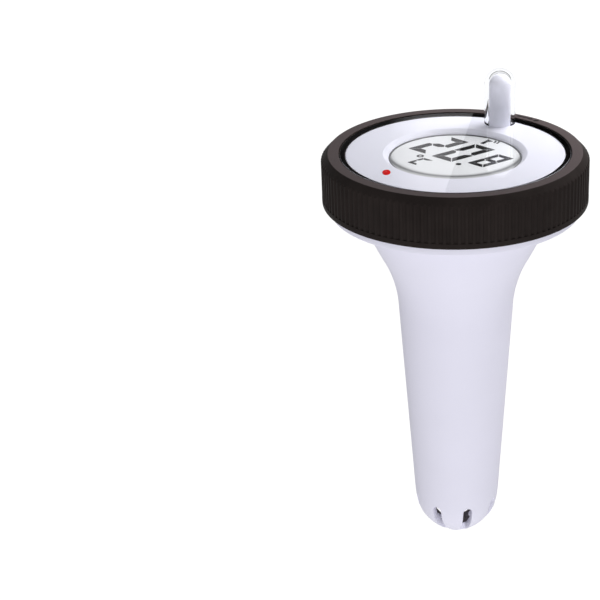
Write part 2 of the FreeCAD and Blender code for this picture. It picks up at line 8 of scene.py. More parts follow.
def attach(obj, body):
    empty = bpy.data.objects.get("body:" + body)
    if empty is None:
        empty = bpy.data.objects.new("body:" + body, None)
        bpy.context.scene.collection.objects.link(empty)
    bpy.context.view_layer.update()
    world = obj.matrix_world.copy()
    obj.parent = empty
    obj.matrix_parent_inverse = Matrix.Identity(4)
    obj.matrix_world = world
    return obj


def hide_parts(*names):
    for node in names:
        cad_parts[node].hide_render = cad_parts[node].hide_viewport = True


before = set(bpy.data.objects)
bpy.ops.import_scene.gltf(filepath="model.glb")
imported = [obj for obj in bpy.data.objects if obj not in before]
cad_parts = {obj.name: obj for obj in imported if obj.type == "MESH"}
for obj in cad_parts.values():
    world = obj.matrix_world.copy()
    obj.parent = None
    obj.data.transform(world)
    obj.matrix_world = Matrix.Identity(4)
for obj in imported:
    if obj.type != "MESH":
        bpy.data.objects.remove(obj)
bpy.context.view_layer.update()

# Pieces are made in millimetres. Height 0 is the underside of the float's flange, the axis of the float is
# x = y = 0, and the camera looks along +Y.
MM = 0.001
scene = bpy.context.scene


# ---------------------------------------------------------------- mesh helpers

MERGE_DISTANCE = 2e-7
SLIVER_DISTANCE = 1e-7
ON_AXIS = 1e-6
BEVEL_STEPS = 2
LEVEL = 0.9995


def mesh_object(name, verts, faces):
    """Closed mesh from points in millimetres, its doubled points merged and its faces turned outwards."""
    mesh = bpy.data.meshes.new(name)
    mesh.from_pydata([(x * MM, y * MM, z * MM) for x, y, z in verts], [], faces)
    obj = bpy.data.objects.new(name, mesh)
    scene.collection.objects.link(obj)
    bm = bmesh.new()
    bm.from_mesh(mesh)
    bmesh.ops.remove_doubles(bm, verts=bm.verts, dist=MERGE_DISTANCE)
    bmesh.ops.dissolve_degenerate(bm, edges=bm.edges, dist=SLIVER_DISTANCE)
    bmesh.ops.recalc_face_normals(bm, faces=bm.faces)
    bm.to_mesh(mesh)
    bm.free()
    return obj


def piece(name, verts, faces, mat, body, replaces=()):
    """Mesh piece that rides on a body and may stand for CAD nodes."""
    obj = mesh_object(name, verts, faces)
    obj.data.materials.append(mat)
    for p in obj.data.polygons:
        p.use_smooth = True
    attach(obj, body)
    if replaces:
        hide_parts(*replaces)
    return obj


def settle(obj, angle, width=0.0):
    """Round the piece's sharp edges and keep smooth shading between them."""
    if width > 0:
        bevel = obj.modifiers.new("edge", "BEVEL")
        bevel.width = width * MM
        bevel.segments = BEVEL_STEPS
        bevel.limit_method = "ANGLE"
        bevel.angle_limit = math.radians(angle)
        bevel.use_clamp_overlap = True
        bevel.harden_normals = False
    freeze(obj)
    shade(obj, angle)


def shade(obj, angle):
    """Smooth shading up to an angle; level faces keep their own normal."""
    obj.data.set_sharp_from_angle(angle=math.radians(angle))
    for p in obj.data.polygons:
        p.use_smooth = abs(p.normal.z) < LEVEL


def freeze(obj):
    """Apply the piece's modifiers to its mesh."""
    bpy.context.view_layer.update()
    graph = bpy.context.evaluated_depsgraph_get()
    made = bpy.data.meshes.new_from_object(obj.evaluated_get(graph))
    obj.modifiers.clear()
    obj.data = made


def closed_rings(verts_per_ring, rings, skip=()):
    """Quads between neighbouring closed rings of points, the last ring joined to the first."""
    faces = []
    for i in range(rings):
        j = (i + 1) % rings
        for k in range(verts_per_ring):
            if k in skip:
                continue
            m = (k + 1) % verts_per_ring
            faces.append([i * verts_per_ring + k, j * verts_per_ring + k,
                          j * verts_per_ring + m, i * verts_per_ring + m])
    return faces


def lathe(profile, columns, centre=(0.0, 0.0)):
    """Vertices and faces of a closed profile of (radius, height) turned about an upright axis."""
    verts = []
    for i in range(columns):
        a = 2 * math.pi * i / columns
        for r, z in profile:
            verts.append((centre[0] + r * math.cos(a), centre[1] + r * math.sin(a), z))
    following = profile[1:] + profile[:1]
    axis_runs = [k for k, (p, q) in enumerate(zip(profile, following)) if max(p[0], q[0]) < ON_AXIS]
    return verts, closed_rings(len(profile), columns, axis_runs)


def between(p, q, t):
    """Point a fraction t of the way from one profile point to another."""
    return (p[0] + (q[0] - p[0]) * t, p[1] + (q[1] - p[1]) * t)


def arc(cx, cz, radius, start, end, steps):
    """Points of an arc in the profile plane, angles in degrees."""
    points = []
    for i in range(steps + 1):
        a = math.radians(start + (end - start) * i / steps)
        points.append((cx + radius * math.cos(a), cz + radius * math.sin(a)))
    return points


def arc_through(p, q, s, steps):
    """Points on the circle through three profile points, from p to s."""
    ax, ay, bx, by, cx, cy = *p, *q, *s
    d = 2 * (ax * (by - cy) + bx * (cy - ay) + cx * (ay - by))
    ux = ((ax**2 + ay**2) * (by - cy) + (bx**2 + by**2) * (cy - ay) + (cx**2 + cy**2) * (ay - by)) / d
    uy = ((ax**2 + ay**2) * (cx - bx) + (bx**2 + by**2) * (ax - cx) + (cx**2 + cy**2) * (bx - ax)) / d
    start = math.degrees(math.atan2(ay - uy, ax - ux))
    end = math.degrees(math.atan2(cy - uy, cx - ux))
    while end - start > 180:
        end -= 360
    while end - start < -180:
        end += 360
    return arc(ux, uy, math.hypot(ax - ux, ay - uy), start, end, steps)


# ---------------------------------------------------------------- materials

DRIFT_RANGE = (0.3, 0.7)
ROUGH_SPREAD = 0.06
COAT_ROUGH = 0.05


def material(name, color, rough, metallic=0.0, specular=0.5, grain=None, tone=0.04, blotch=60.0, coat=0.0):
    """Moulded or finished surface: fine grain in the bump, a slow drift in tone and in gloss.
    grain is (scale per metre, strength, depth in mm)."""
    mat = bpy.data.materials.new(name)
    mat.use_nodes = True
    tree = mat.node_tree
    bsdf = tree.nodes["Principled BSDF"]
    bsdf.inputs["Metallic"].default_value = metallic
    bsdf.inputs["Specular IOR Level"].default_value = specular
    bsdf.inputs["Coat Weight"].default_value = coat
    bsdf.inputs["Coat Roughness"].default_value = COAT_ROUGH
    coords = tree.nodes.new("ShaderNodeTexCoord")

    drift = tree.nodes.new("ShaderNodeTexNoise")
    drift.inputs["Scale"].default_value = blotch
    drift.inputs["Detail"].default_value = 5
    tree.links.new(coords.outputs["Object"], drift.inputs["Vector"])
    ramp = tree.nodes.new("ShaderNodeValToRGB")
    low = [c * (1 - tone) for c in color]
    high = [min(1.0, c * (1 + tone)) for c in color]
    for stop, place, stop_color in zip(ramp.color_ramp.elements, DRIFT_RANGE, (low, high)):
        stop.position = place
        stop.color = (*stop_color, 1)
    tree.links.new(drift.outputs["Fac"], ramp.inputs["Fac"])
    tree.links.new(ramp.outputs["Color"], bsdf.inputs["Base Color"])

    gloss = tree.nodes.new("ShaderNodeMapRange")
    gloss.inputs["From Min"].default_value = DRIFT_RANGE[0]
    gloss.inputs["From Max"].default_value = DRIFT_RANGE[1]
    gloss.inputs["To Min"].default_value = max(0.0, rough - ROUGH_SPREAD)
    gloss.inputs["To Max"].default_value = min(1.0, rough + ROUGH_SPREAD)
    tree.links.new(drift.outputs["Fac"], gloss.inputs["Value"])
    tree.links.new(gloss.outputs["Result"], bsdf.inputs["Roughness"])

    if grain:
        scale, strength, depth = grain
        fine = tree.nodes.new("ShaderNodeTexNoise")
        fine.inputs["Scale"].default_value = scale
        fine.inputs["Detail"].default_value = 3
        fine.inputs["Roughness"].default_value = 0.6
        tree.links.new(coords.outputs["Object"], fine.inputs["Vector"])
        bump = tree.nodes.new("ShaderNodeBump")
        bump.inputs["Strength"].default_value = strength
        bump.inputs["Distance"].default_value = depth * MM
        tree.links.new(fine.outputs["Fac"], bump.inputs["Height"])
        tree.links.new(bump.outputs["Normal"], bsdf.inputs["Normal"])
    return mat


PLASTIC_IOR = 1.49
PLASTIC_TINT = (0.985, 0.988, 0.995, 1)
STRAIGHT_TINT = (0.96, 0.965, 0.97, 1)
SMEAR_ROUGH = 0.006
COATED_SHARE = 0.5
TOTAL_REFLECTION = 0.9


def clear_plastic(name):
    """Polished clear plastic with faint smears. Its coating halves the mirror except where reflection is
    total, and lamps reach what is behind it in straight lines."""
    mat = bpy.data.materials.new(name)
    mat.use_nodes = True
    tree = mat.node_tree
    tree.nodes.remove(tree.nodes["Principled BSDF"])

    coords = tree.nodes.new("ShaderNodeTexCoord")
    smear = tree.nodes.new("ShaderNodeTexNoise")
    smear.inputs["Scale"].default_value = 90
    smear.inputs["Detail"].default_value = 4
    tree.links.new(coords.outputs["Object"], smear.inputs["Vector"])
    gloss = tree.nodes.new("ShaderNodeMapRange")
    gloss.inputs["From Min"].default_value = 0.35
    gloss.inputs["From Max"].default_value = 0.75
    gloss.inputs["To Max"].default_value = SMEAR_ROUGH
    tree.links.new(smear.outputs["Fac"], gloss.inputs["Value"])

    bend = tree.nodes.new("ShaderNodeBsdfRefraction")
    bend.inputs["IOR"].default_value = PLASTIC_IOR
    mirror = tree.nodes.new("ShaderNodeBsdfAnisotropic")
    for surface in (bend, mirror):
        surface.inputs["Color"].default_value = PLASTIC_TINT
        tree.links.new(gloss.outputs["Result"], surface.inputs["Roughness"])

    fresnel = tree.nodes.new("ShaderNodeFresnel")
    fresnel.inputs["IOR"].default_value = PLASTIC_IOR
    coating = tree.nodes.new("ShaderNodeMapRange")
    coating.inputs["From Max"].default_value = TOTAL_REFLECTION
    coating.inputs["To Max"].default_value = TOTAL_REFLECTION * COATED_SHARE
    tree.links.new(fresnel.outputs["Fac"], coating.inputs["Value"])
    total = tree.nodes.new("ShaderNodeMath")
    total.operation = "GREATER_THAN"
    total.inputs[1].default_value = TOTAL_REFLECTION
    tree.links.new(fresnel.outputs["Fac"], total.inputs[0])
    pick = tree.nodes.new("ShaderNodeMath")
    pick.operation = "MAXIMUM"
    tree.links.new(coating.outputs["Result"], pick.inputs[0])
    tree.links.new(total.outputs["Value"], pick.inputs[1])
    plastic = tree.nodes.new("ShaderNodeMixShader")
    tree.links.new(pick.outputs["Value"], plastic.inputs["Fac"])
    tree.links.new(bend.outputs["BSDF"], plastic.inputs[1])
    tree.links.new(mirror.outputs["BSDF"], plastic.inputs[2])

    straight = tree.nodes.new("ShaderNodeBsdfTransparent")
    straight.inputs["Color"].default_value = STRAIGHT_TINT
    path = tree.nodes.new("ShaderNodeLightPath")
    lamp_ray = tree.nodes.new("ShaderNodeMath")
    lamp_ray.operation = "MAXIMUM"
    tree.links.new(path.outputs["Is Shadow Ray"], lamp_ray.inputs[0])
    tree.links.new(path.outputs["Is Diffuse Ray"], lamp_ray.inputs[1])
    mix = tree.nodes.new("ShaderNodeMixShader")
    tree.links.new(lamp_ray.outputs["Value"], mix.inputs["Fac"])
    tree.links.new(plastic.outputs["Shader"], mix.inputs[1])
    tree.links.new(straight.outputs["BSDF"], mix.inputs[2])
    tree.links.new(mix.outputs["Shader"], tree.nodes["Material Output"].inputs["Surface"])
    return mat


WHITE = material("float_white", (0.80, 0.79, 0.915), 0.5, specular=0.2, grain=(5200, 0.3, 0.06), tone=0.012,
                 blotch=45)
# Dark grey for the chamber's inner faces: painted shade for the unlit inside of the white tube seen through
# the slots.
CHAMBER_SHADE = material("chamber_painted_shade", (0.30, 0.265, 0.29), 0.6, grain=(4000, 0.3, 0.05), tone=0.1)
BLACK = material("ring_black", (0.021, 0.0165, 0.0155), 0.5, specular=0.04, grain=(4200, 0.35, 0.05),
                 tone=0.15, blotch=120)
# Lighter copy of the ring's black for its flat top: painted light where the top catches more light than the
# sides.
RING_TOP_PAINTED_LIGHT = material("ring_top_painted_light", (0.062, 0.048, 0.049), 0.5, specular=0.2, grain=(4200, 0.4, 0.05), tone=0.08,
                blotch=120)
MARK = material("mark_black", (0.006, 0.005, 0.005), 0.6, specular=0.2, grain=(4000, 0.3, 0.03), tone=0.2)
BEZEL = material("bezel_white", (0.83, 0.82, 0.90), 0.35, specular=0.25, grain=(6500, 0.12, 0.03),
                 tone=0.01, blotch=50)
SHEATH = material("sheath_white", (0.90, 0.89, 0.975), 0.5, specular=0.2, grain=(5200, 0.2, 0.04),
                  tone=0.015, blotch=90)
SEAL = material("seal_black", (0.012, 0.011, 0.011), 0.55, specular=0.3, grain=(3000, 0.3, 0.05), tone=0.2)
GLASS = material("lcd_glass", (0.80, 0.80, 0.805), 0.35, specular=0.2, grain=(9000, 0.05, 0.01), tone=0.012,
                 blotch=35)
INK = material("lcd_ink", (0.004, 0.004, 0.003), 0.5, specular=0.1, grain=(6000, 0.1, 0.01), tone=0.15)
# Dark grey of the display's seal, which also paints the shade in the gap under the recess's lip.
SEAL_AND_SHADE = material("window_edge", (0.12, 0.12, 0.125), 0.35, grain=(6000, 0.1, 0.01), tone=0.08)
CLEAR = clear_plastic("clear_plastic")
LED = material("led_red", (0.66, 0.012, 0.010), 0.5, specular=0.0, grain=(7000, 0.1, 0.02), tone=0.05,
               blotch=300)
HOLDER = material("holder_black", (0.03, 0.03, 0.032), 0.5, grain=(4000, 0.3, 0.05), tone=0.12)
BOARD = material("board_green", (0.02, 0.13, 0.06), 0.35, grain=(2600, 0.3, 0.03), tone=0.25, blotch=260,
                 coat=0.3)
BRASS = material("antenna_brass", (0.72, 0.50, 0.22), 0.3, metallic=1.0, grain=(5000, 0.2, 0.02), tone=0.12)
STEEL = material("plated_steel", (0.62, 0.62, 0.63), 0.3, metallic=1.0, grain=(3500, 0.25, 0.03), tone=0.1,
                 blotch=180)
ZINC = material("zinc_plate", (0.48, 0.49, 0.50), 0.42, metallic=1.0, grain=(1600, 0.4, 0.06), tone=0.2,
                blotch=140)
RESIN = material("chip_black", (0.015, 0.015, 0.016), 0.25, grain=(1500, 0.3, 0.05), tone=0.2)
GREY = material("housing_grey", (0.50, 0.51, 0.53), 0.48, grain=(4200, 0.35, 0.06), tone=0.04)
BUTTON = material("button_grey", (0.24, 0.25, 0.27), 0.5, grain=(4500, 0.35, 0.06), tone=0.06)
SLEEVE = material("cell_sleeve", (0.06, 0.10, 0.22), 0.28, grain=(2500, 0.1, 0.02), tone=0.1, coat=0.5)
IVORY = material("plug_ivory", (0.72, 0.69, 0.60), 0.45, grain=(4000, 0.25, 0.04), tone=0.04)
LEAD = material("lead_black", (0.018, 0.018, 0.018), 0.5, grain=(2800, 0.4, 0.06), tone=0.2)

SHADE_CENTRE_Y = 6.0
SHADE_RADIUS = 25.55
SHADE_INWARD = 2.6
SHADE_OUTWARD = 3.0


def rim_shade(mat):
    """Darken the display where the near rim of the recess shades it: a soft band along a circle that is set
    back from the window's own."""
    tree = mat.node_tree
    bsdf = tree.nodes["Principled BSDF"]
    coords = tree.nodes.new("ShaderNodeTexCoord")
    shift = tree.nodes.new("ShaderNodeVectorMath")
    shift.operation = "MULTIPLY_ADD"
    shift.inputs[1].default_value = (1, 1, 0)
    shift.inputs[2].default_value = (0, -SHADE_CENTRE_Y * MM, 0)
    tree.links.new(coords.outputs["Object"], shift.inputs[0])
    reach = tree.nodes.new("ShaderNodeVectorMath")
    reach.operation = "LENGTH"
    tree.links.new(shift.outputs["Vector"], reach.inputs[0])
    span = tree.nodes.new("ShaderNodeMapRange")
    span.inputs["From Min"].default_value = (SHADE_RADIUS - SHADE_INWARD) * MM
    span.inputs["From Max"].default_value = (SHADE_RADIUS + SHADE_OUTWARD) * MM
    tree.links.new(reach.outputs["Value"], span.inputs["Value"])
    ramp = tree.nodes.new("ShaderNodeValToRGB")
    stops = ramp.color_ramp.elements
    stops[0].position, stops[0].color = 0.0, (1, 1, 1, 1)
    stops[1].position, stops[1].color = 1.0, (0.7, 0.7, 0.7, 1)
    rim = SHADE_INWARD / (SHADE_INWARD + SHADE_OUTWARD)
    for place, level in ((rim * 0.45, 0.8), (rim * 0.85, 0.22), (rim * 1.1, 0.22), (rim * 1.5, 0.6)):
        stops.new(place).color = (level, level, level, 1)
    tree.links.new(span.outputs["Result"], ramp.inputs["Fac"])
    tint = tree.nodes.new("ShaderNodeMix")
    tint.data_type = "RGBA"
    tint.blend_type = "MULTIPLY"
    tint.inputs["Factor"].default_value = 1.0
    source = bsdf.inputs["Base Color"].links[0].from_socket
    tree.links.new(source, tint.inputs["A"])
    tree.links.new(ramp.outputs["Color"], tint.inputs["B"])
    tree.links.new(tint.outputs["Result"], bsdf.inputs["Base Color"])


rim_shade(GLASS)

for node, mat in {
    "cover_gasket": SEAL, "lcd_panel": GLASS, "lcd_segments": INK, "lcd_holder": HOLDER,
    "zebra_strips": SEAL, "main_board": BOARD, "antenna_coil": BRASS, "rf_module": STEEL,
    "controller_chip": RESIN, "tact_switches": HOLDER, "unit_button": BUTTON, "sync_button": BUTTON,
    "channel_switch": HOLDER, "channel_slider": BUTTON, "rear_housing": GREY, "battery_cell_a": SLEEVE,
    "battery_cell_b": SLEEVE, "contact_springs": STEEL, "contact_plates": STEEL, "bridge_plate": STEEL,
    "battery_door": GREY, "housing_screws": STEEL, "probe_bulkhead": GREY, "bulkhead_seal": SEAL,
    "temperature_probe": STEEL, "probe_nut": STEEL, "sensor_bead": RESIN, "probe_lead": LEAD,
    "lead_plug": IVORY, "plug_socket": IVORY, "ballast_weight": ZINC, "ballast_screws": STEEL,
    "float_body": WHITE, "locking_ring": BLACK, "clear_cover": CLEAR, "module_bezel": BEZEL,
    "window_gasket": SEAL_AND_SHADE, "antenna_sheath": SHEATH, "status_led": LED,
}.items():
    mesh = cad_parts[node].data
    mesh.materials.clear()
    mesh.materials.append(mat)


# ---------------------------------------------------------------- float body

FLANGE_R = 47.3
FLANGE_TOP = 4.0
FLANGE_ROUND = 0.6
COLLAR_R = 44.9
COLLAR_BORE = 42.4
COLLAR_TOP = 16.2
FUNNEL_TOP = (37.9, 0.0)
FUNNEL_END = (28.6, -18.4)
NECK = (23.35, -31.6)
TUBE_TOP = (22.0, -42.0)
TUBE_END = (16.75, -122.0)
TUBE_WALL = 2.0
DOME_R = 16.1
DOME_TOP = -127.1
DOME_HEIGHT = 14.9
DOME_POWER = 1.27
TIP = DOME_TOP - DOME_HEIGHT
CHAMBER_R = 14.2
CHAMBER_FLOOR = -139.3
CHAMBER_ROOF = -119.8
BULKHEAD_SEAT_R = 13.2
BULKHEAD_BORE = 14.8

SECTORS = 8
SECTOR_COLUMNS = 18
SLOT_HALF = 1.85
SLOT_TOP = -123.9
SLOT_INNER_R = 5.0
SLOT_FIRST = math.radians(-74.4)
SLOT_RUN_ROWS = 12


def dome_outer(steps):
    """Points of the dome from its shoulder down to the tip."""
    points = []
    for i in range(steps + 1):
        a = math.pi / 2 * i / steps
        r = DOME_R * math.cos(a) ** DOME_POWER
        points.append((r, DOME_TOP - DOME_HEIGHT * math.sin(a) ** DOME_POWER))
    return points


def along(points, key, value):
    """Where a run of profile points reaches a radius (key 0) or height (key 1)."""
    for p, q in zip(points, points[1:]):
        a, b = p[key], q[key]
        if min(a, b) <= value <= max(a, b) and a != b:
            return between(p, q, (value - a) / (b - a))
    return points[-1]


def slot_rows(run):
    """Rows of (radius, height, half width) down one wall of the slots, rounded at both ends."""
    rows = []
    for i in range(7):
        a = math.pi / 2 * i / 6
        r, z = along(run, 1, SLOT_TOP - SLOT_HALF * (1 - math.cos(a)))
        rows.append((r, z, SLOT_HALF * math.sin(a)))
    start = along(run, 1, SLOT_TOP - SLOT_HALF)[0]
    end = SLOT_INNER_R + SLOT_HALF
    for i in range(1, SLOT_RUN_ROWS + 1):
        rows.append((*along(run, 0, start + (end - start) * (i / SLOT_RUN_ROWS)), SLOT_HALF))
    for i in range(1, 6):
        a = math.pi / 2 * i / 5
        r, z = along(run, 0, SLOT_INNER_R + SLOT_HALF * (1 - math.sin(a)))
        rows.append((r, z, SLOT_HALF * math.cos(a)))
    return rows


def plain(points):
    """Profile points as rows that no slot cuts."""
    return [(r, z, 0) for r, z in points]


def float_shell():
    """Flange, threaded collar, funnel, tapered tube and slotted dome, made as eight sectors that lie between
    the slots and meet where no slot cuts them."""
    bend = arc_through(FUNNEL_END, NECK, TUBE_TOP, 14)
    outer = [TUBE_END, (16.56, -124.0), (16.35, -125.6)] + dome_outer(40)
    inner = [(CHAMBER_R, -121.0), (CHAMBER_R, -124.0), (13.9, -126.0), (12.6, -129.9), (8.7, -134.6),
             (4.0, -138.2), (0.0, CHAMBER_FLOOR)]
    out_rows = slot_rows(outer)
    in_rows = slot_rows(inner)

    rim = FLANGE_R - FLANGE_ROUND
    outside = [(COLLAR_BORE, COLLAR_TOP), (COLLAR_R, COLLAR_TOP), (COLLAR_R, FLANGE_TOP), (rim, FLANGE_TOP)]
    outside += arc(rim, FLANGE_TOP - FLANGE_ROUND, FLANGE_ROUND, 90, 0, 4)[1:]
    outside += arc(rim, FLANGE_ROUND, FLANGE_ROUND, 0, -90, 4)
    outside += [(38.6, 0.0), (38.1, -0.2)]
    outside += [between(FUNNEL_TOP, FUNNEL_END, t) for t in (0.06, 0.25, 0.5, 0.75)]
    outside += bend
    outside += [between(TUBE_TOP, TUBE_END, t) for t in (0.15, 0.3, 0.45, 0.6, 0.75, 0.9, 1.0)]
    tip = [along(outer, 0, r) for r in (3.6, 2.2, 1.0)] + [(0.0, TIP)]
    back = [(0.0, CHAMBER_FLOOR), along(inner, 0, 2.4)]
    upper = [(CHAMBER_R, -121.0), (BULKHEAD_SEAT_R, -119.9), (BULKHEAD_SEAT_R, -118.0)]
    upper += [(BULKHEAD_BORE, -118.0), (BULKHEAD_BORE, -112.0), (15.4, -112.0)]
    tube_points = [between(TUBE_TOP, TUBE_END, t) for t in (0.6, 0.3, 0.0)]
    upper += [(r - TUBE_WALL, z) for r, z in tube_points]
    upper += [(r - 1.93, z + 0.45) for r, z in reversed(bend[:-1])]
    upper += [(36.11, 0.9), (36.11, FLANGE_TOP), (COLLAR_BORE, FLANGE_TOP)]

    rows = plain(outside) + out_rows + plain(tip + back) + in_rows[::-1] + plain(upper)
    count = len(rows)
    first_out = len(outside)
    last_in = first_out + len(out_rows) + len(tip) + len(back) + len(in_rows) - 1
    verts, faces = [], []
    for s in range(SECTORS):
        base = len(verts)
        middle = SLOT_FIRST + s * 2 * math.pi / SECTORS
        for j in range(SECTOR_COLUMNS + 1):
            for r, z, half in rows:
                edge = math.asin(min(1.0, half / r)) if r > ON_AXIS and half > 0 else 0.0
                span = 2 * math.pi / SECTORS - 2 * edge
                a = middle + edge + span * j / SECTOR_COLUMNS
                verts.append((r * math.cos(a), r * math.sin(a), z))
        for j in range(SECTOR_COLUMNS):
            for k in range(count):
                m = (k + 1) % count
                faces.append([base + j * count + k, base + (j + 1) * count + k,
                              base + (j + 1) * count + m, base + j * count + m])
        for j in (0, SECTOR_COLUMNS):
            for k in range(len(out_rows) - 1):
                side = (first_out + k, first_out + k + 1, last_in - k - 1, last_in - k)
                faces.append([base + j * count + v for v in side])

    shell = piece("float_shell", verts, faces, WHITE, "float", ("float_body",))
    # The chamber's inner faces take the dark grey: painted shade where the slots show the unlit inside.
    shell.data.materials.append(CHAMBER_SHADE)
    for p in shell.data.polygons:
        x, y, z = p.center / MM
        wall = along(inner, 1, max(z, CHAMBER_FLOOR + 0.1))[0]
        if z < CHAMBER_ROOF and math.hypot(x, y) < wall + 0.25 and p.normal.z > -0.99:
            p.material_index = 1
    settle(shell, 38, width=0.22)


float_shell()


# ---------------------------------------------------------------- locking ring

RING_TOP = 22.4
RING_LOW = 4.3
RING_BORE = 47.1
LIP_BORE = 43.26
LIP_UNDER = 19.4
SKIRT_R = 50.0
FLUTES = 120
FLUTE_LOW = 6.1
FLUTE_HIGH = 19.8
GRIP_R = 49.96
GROOVE_R = 0.95
GROOVE_CENTRE = 50.38
FINE_LINE_AT = 1.1
FINE_LINE_DEPTH = 0.03
HALF_PITCH = 180 / FLUTES


def groove_radius(offset):
    """Distance from the axis to the grip's surface at an angle from the nearest groove's middle."""
    side = GROOVE_CENTRE * math.sin(offset)
    if abs(side) >= GROOVE_R:
        return GRIP_R
    return min(GRIP_R, GROOVE_CENTRE * math.cos(offset) - math.sqrt(GROOVE_R**2 - side**2))


def ring_column(r):
    """Closed profile of the ring where its grip has radius r: skirt, flute, slope up to the top, lip."""
    top = FLUTE_HIGH + (GRIP_R - r)
    slope_end = 47.4
    reach = r - slope_end
    column = [(RING_BORE, RING_LOW), (47.65, RING_LOW), (47.65, 3.8), (49.7, 3.66), (49.95, 3.72)]
    column += [(SKIRT_R, 3.95), (SKIRT_R, 5.6), (49.97, 5.74), (min(49.9, r + 0.02), 5.8), (r - 0.01, 5.86)]
    column += [(r, FLUTE_LOW + (top - 0.12 - FLUTE_LOW) * t) for t in (0.0, 0.33, 0.66, 1.0)]
    column += [(r - 0.03, top - 0.02), (r - 0.12, top + 0.12)]
    column += [(r - reach * t, top + reach * t * (RING_TOP - top) / reach) for t in (0.35, 0.7)]
    column += [(47.55, 22.27), (47.42, 22.36), (47.2, RING_TOP), (45.5, RING_TOP), (43.6, RING_TOP)]
    column += [(43.4, 22.35), (43.3, 22.25), (LIP_BORE, 22.0), (LIP_BORE, LIP_UNDER)]
    column += [(RING_BORE, LIP_UNDER)]
    return column


def grip_ring():
    half = [0.28, 0.55, 0.8, 0.95, 1.03, FINE_LINE_AT, 1.28]
    offsets = [-HALF_PITCH] + [-o for o in reversed(half)] + [0.0] + half
    verts = []
    for f in range(FLUTES):
        for o in offsets:
            a = math.radians(f * 360 / FLUTES + o)
            r = groove_radius(math.radians(o))
            if abs(o) == FINE_LINE_AT:
                r -= FINE_LINE_DEPTH
            verts += [(q * math.cos(a), q * math.sin(a), z) for q, z in ring_column(r)]
    faces = closed_rings(len(ring_column(GRIP_R)), FLUTES * len(offsets))
    ring = piece("grip_ring", verts, faces, BLACK, "ring", ("locking_ring",))
    # The flat top faces take the lighter copy of the black: painted light on the lit top of the ring.
    ring.data.materials.append(RING_TOP_PAINTED_LIGHT)
    for p in ring.data.polygons:
        if p.center.z > (RING_TOP - 0.1) * MM and p.normal.z > 0.9:
            p.material_index = 1
    settle(ring, 50)


grip_ring()

MARK_PROUD = 0.03


def ring_mark(name, outline):
    """Mark on the ring's top: a thin dark panel just proud of the flat."""
    n = len(outline)
    verts = [(x, y, RING_TOP) for x, y in outline] + [(x, y, RING_TOP + MARK_PROUD) for x, y in outline]
    faces = [list(range(n))[::-1], list(range(n, 2 * n))]
    faces += [[i, (i + 1) % n, n + (i + 1) % n, n + i] for i in range(n)]
    settle(piece(name, verts, faces, MARK, "ring"), 30)


def polar(radius, degrees):
    a = math.radians(degrees)
    return radius * math.cos(a), radius * math.sin(a)


def oval(half_x, half_y, steps):
    """Points of an upright oval about the origin."""
    angles = [i / steps * 2 * math.pi for i in range(steps)]
    return [(half_x * math.cos(a), half_y * math.sin(a)) for a in angles]


TURN_START, TURN_DEGREES = 50, 8
band = [polar(45.15, TURN_START + i) for i in range(TURN_DEGREES + 1)]
band += [polar(45.95, TURN_START + TURN_DEGREES - i) for i in range(TURN_DEGREES + 1)]
arrowhead = [polar(46.6, TURN_START), polar(45.5, TURN_START - 1.7), polar(44.4, TURN_START)]
ring_mark("turn_mark", band + arrowhead)
lock_x, lock_y = polar(45.4, 46.2)
ring_mark("lock_mark", [(lock_x + x, lock_y + y) for x, y in oval(1.2, 0.8, 24)])


# ---------------------------------------------------------------- module: disc, window, red light, white rod

ROD_X, ROD_Y = 17.3, 31.4
ROD_R = 4.13
ROD_LOW = 16.4
ROD_HIGH = 41.73
DISC_TOP = 20.35
DISC_R = 41.0
DISC_ROUND = 0.5
DISC_T = 1.5
DISC_SKIRT_LOW = 13.5
RECESS_DEPTH = 1.8
RECESS_FLOOR = DISC_TOP - RECESS_DEPTH


def bezel_disc():
    """White disc with a skirt, and the sloped recess of the display in its middle."""
    under = DISC_TOP - DISC_T
    profile = [(24.8, RECESS_FLOOR), (30.0, RECESS_FLOOR), (30.0, under), (39.9, under)]
    profile += [(39.9, DISC_SKIRT_LOW), (DISC_R, DISC_SKIRT_LOW), (DISC_R, DISC_TOP - DISC_ROUND)]
    profile += arc(DISC_R - DISC_ROUND, DISC_TOP - DISC_ROUND, DISC_ROUND, 0, 90, 5)[1:]
    profile += [(34.0, DISC_TOP), (28.0, DISC_TOP), (26.9, DISC_TOP - 0.02), (26.6, DISC_TOP - 0.17),
                (25.3, DISC_TOP - 1.16), (25.0, DISC_TOP - 1.45)]
    verts, faces = lathe(profile, 192)
    settle(piece("bezel_disc", verts, faces, BEZEL, "float", ("module_bezel",)), 40)


def window_edge():
    """Dark seal round the display, with a low bead along its inner edge. Its dark grey also stands for
    painted shade in the gap under the recess's lip.
    """
    z = RECESS_FLOOR
    profile = [(26.2, z - 0.2), (26.2, z), (24.85, z)]
    profile += [(24.75, z + 0.12), (24.55, z + 0.16), (24.3, z + 0.08), (24.2, z - 0.2)]
    verts, faces = lathe(profile, 160)
    settle(piece("window_edge", verts, faces, SEAL_AND_SHADE, "float", ("window_gasket",)), 40)


def white_rod():
    """Round antenna rod with a domed top."""
    straight = ROD_HIGH - ROD_R - ROD_LOW
    steps = 6
    profile = [(0.0, ROD_LOW), (ROD_R, ROD_LOW)]
    profile += [(ROD_R, ROD_LOW + straight * i / steps) for i in range(1, steps)]
    profile += arc(0, ROD_HIGH - ROD_R, ROD_R, 0, 90, 12)
    verts, faces = lathe(profile, 64, (ROD_X, ROD_Y))
    settle(piece("white_rod", verts, faces, SHEATH, "float", ("antenna_sheath",)), 40)


LED_X, LED_Y = -24.9, -20.3
LED_HALF_X, LED_HALF_Y = 1.55, 2.8
LED_LOW = 12.6


